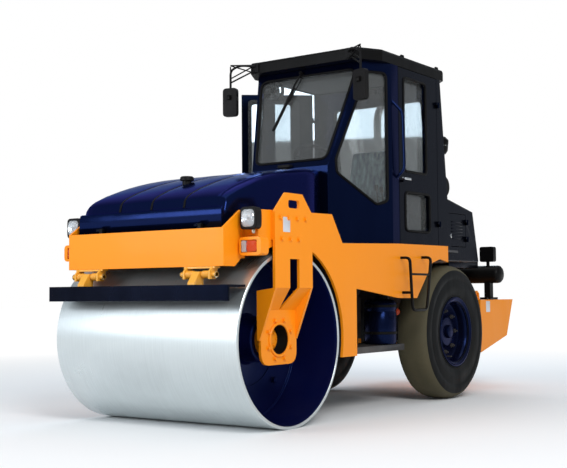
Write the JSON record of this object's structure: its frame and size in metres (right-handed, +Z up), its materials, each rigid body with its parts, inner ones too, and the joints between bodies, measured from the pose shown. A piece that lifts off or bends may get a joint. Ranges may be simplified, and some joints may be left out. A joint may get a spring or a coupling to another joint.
{
  "type": "single drum road roller",
  "caption": "Single drum road roller with a rigid frame, a smooth steel front drum, steered rear tyres, a glazed cab with side doors, lifting hood and rear box",
  "frame": {"origin": "middle of the footprint, on the ground under the drum and tyres", "axes": "the drum leads along -Y, the machine's left side is +X, +Z is up"},
  "size_m": [2.0864, 4.617, 2.9303],
  "materials": {
    "orange_paint": "semi-gloss enamel",
    "black_paint": "gloss enamel",
    "drum_steel": "rolled bright by use",
    "yellow_paint": "semi-gloss enamel",
    "navy_paint": "gloss enamel",
    "tyre_rubber": "matt, dusty",
    "clear_glass": "clear safety glass",
    "bright_pipe": "polished",
    "seat_cloth": "woven seat cover",
    "cast_parts": "painted castings"
  },
  "bodies": {
    "chassis": {"air_cleaner": "black_paint", "cab_front": "black_paint", "cab_rear": "black_paint", "cab_roof": "black_paint", "chassis": "black_paint", "drum_arm_left": "orange_paint", "drum_arm_right": "orange_paint", "engine": "cast_parts", "engine_hood": "black_paint", "exhaust_pipe": "bright_pipe", "front_beam": "orange_paint", "headlamp_left": "black_paint", "headlamp_right": "black_paint", "mirror_left": "black_paint", "mirror_right": "black_paint", "quarter_glass_left": "clear_glass", "quarter_glass_right": "clear_glass", "rear_axle": "cast_parts", "rear_beam": "black_paint", "rear_box": "orange_paint", "rear_window": "clear_glass", "scraper_blade": "black_paint", "scraper_bracket_left": "yellow_paint", "scraper_bracket_right": "yellow_paint", "seat": "seat_cloth", "seat_base": "black_paint", "side_plate_left": "orange_paint", "side_plate_right": "orange_paint", "steering_console": "black_paint", "step_left": "black_paint", "step_right": "black_paint", "tank_left": "navy_paint", "tank_right": "navy_paint", "windscreen": "clear_glass", "wiper": "black_paint"},
    "drum": {"drum": "drum_steel"},
    "knuckle_left": {"knuckle_left": "cast_parts"},
    "knuckle_right": {"knuckle_right": "cast_parts"},
    "tie_rod": {"tie_rod": "cast_parts"},
    "wheel_left": {"rim_left": "navy_paint", "tyre_left": "tyre_rubber"},
    "wheel_right": {"rim_right": "navy_paint", "tyre_right": "tyre_rubber"},
    "door_left": {"cab_door_left": "black_paint", "door_glass_left": "clear_glass"},
    "door_right": {"cab_door_right": "black_paint", "door_glass_right": "clear_glass"},
    "hood": {"front_hood": "black_paint"},
    "engine_door_left": {"engine_door_left": "black_paint"},
    "engine_door_right": {"engine_door_right": "black_paint"}
  },
  "joints": [
    {"name": "drum_turn", "type": "hinge", "parent": "chassis", "child": "drum", "pos_m": [0.13227, -1.6315, 0.6], "axis": [1, 0, 0], "continuous": true},
    {"name": "steer_left", "type": "hinge", "parent": "chassis", "child": "knuckle_left", "pos_m": [0.58227, 0.8735, 0.5755], "axis": [0, 0, 1], "range_deg": [-25, 25]},
    {"name": "steer_right", "type": "hinge", "parent": "chassis", "child": "knuckle_right", "pos_m": [-0.31773, 0.8735, 0.5755], "axis": [0, 0, 1], "range_deg": [-25, 25]},
    {"name": "tie_rod_swing", "type": "hinge", "parent": "knuckle_left", "child": "tie_rod", "pos_m": [0.58227, 1.0435, 0.5065], "axis": [0, 0, 1], "range_deg": [-25, 25]},
    {"name": "wheel_turn_left", "type": "hinge", "parent": "knuckle_left", "child": "wheel_left", "pos_m": [0.78552, 0.8735, 0.5755], "axis": [1, 0, 0], "continuous": true},
    {"name": "wheel_turn_right", "type": "hinge", "parent": "knuckle_right", "child": "wheel_right", "pos_m": [-0.52098, 0.8735, 0.5755], "axis": [1, 0, 0], "continuous": true},
    {"name": "door_left_swing", "type": "hinge", "parent": "chassis", "child": "door_left", "pos_m": [0.80027, 0.861, 2.055], "axis": [0, 0, 1], "range_deg": [0, 75]},
    {"name": "door_right_swing", "type": "hinge", "parent": "chassis", "child": "door_right", "pos_m": [-0.53573, 0.861, 2.055], "axis": [0, 0, -1], "range_deg": [-50, 25]},
    {"name": "hood_lift", "type": "hinge", "parent": "chassis", "child": "hood", "pos_m": [0.13227, -2.1945, 1.363], "axis": [1, 0, 0], "range_deg": [0, 50]},
    {"name": "engine_door_left_swing", "type": "hinge", "parent": "chassis", "child": "engine_door_left", "pos_m": [0.75027, 1.5035, 1.4825], "axis": [0, 0, 1], "range_deg": [0, 100]},
    {"name": "engine_door_right_swing", "type": "hinge", "parent": "chassis", "child": "engine_door_right", "pos_m": [-0.48573, 1.5035, 1.4825], "axis": [0, 0, -1], "range_deg": [0, 100]}
  ],
  "couplings": [
    {"joint": "steer_right", "follows": "steer_left", "ratio": 1},
    {"joint": "tie_rod_swing", "follows": "steer_left", "ratio": -1}
  ]
}
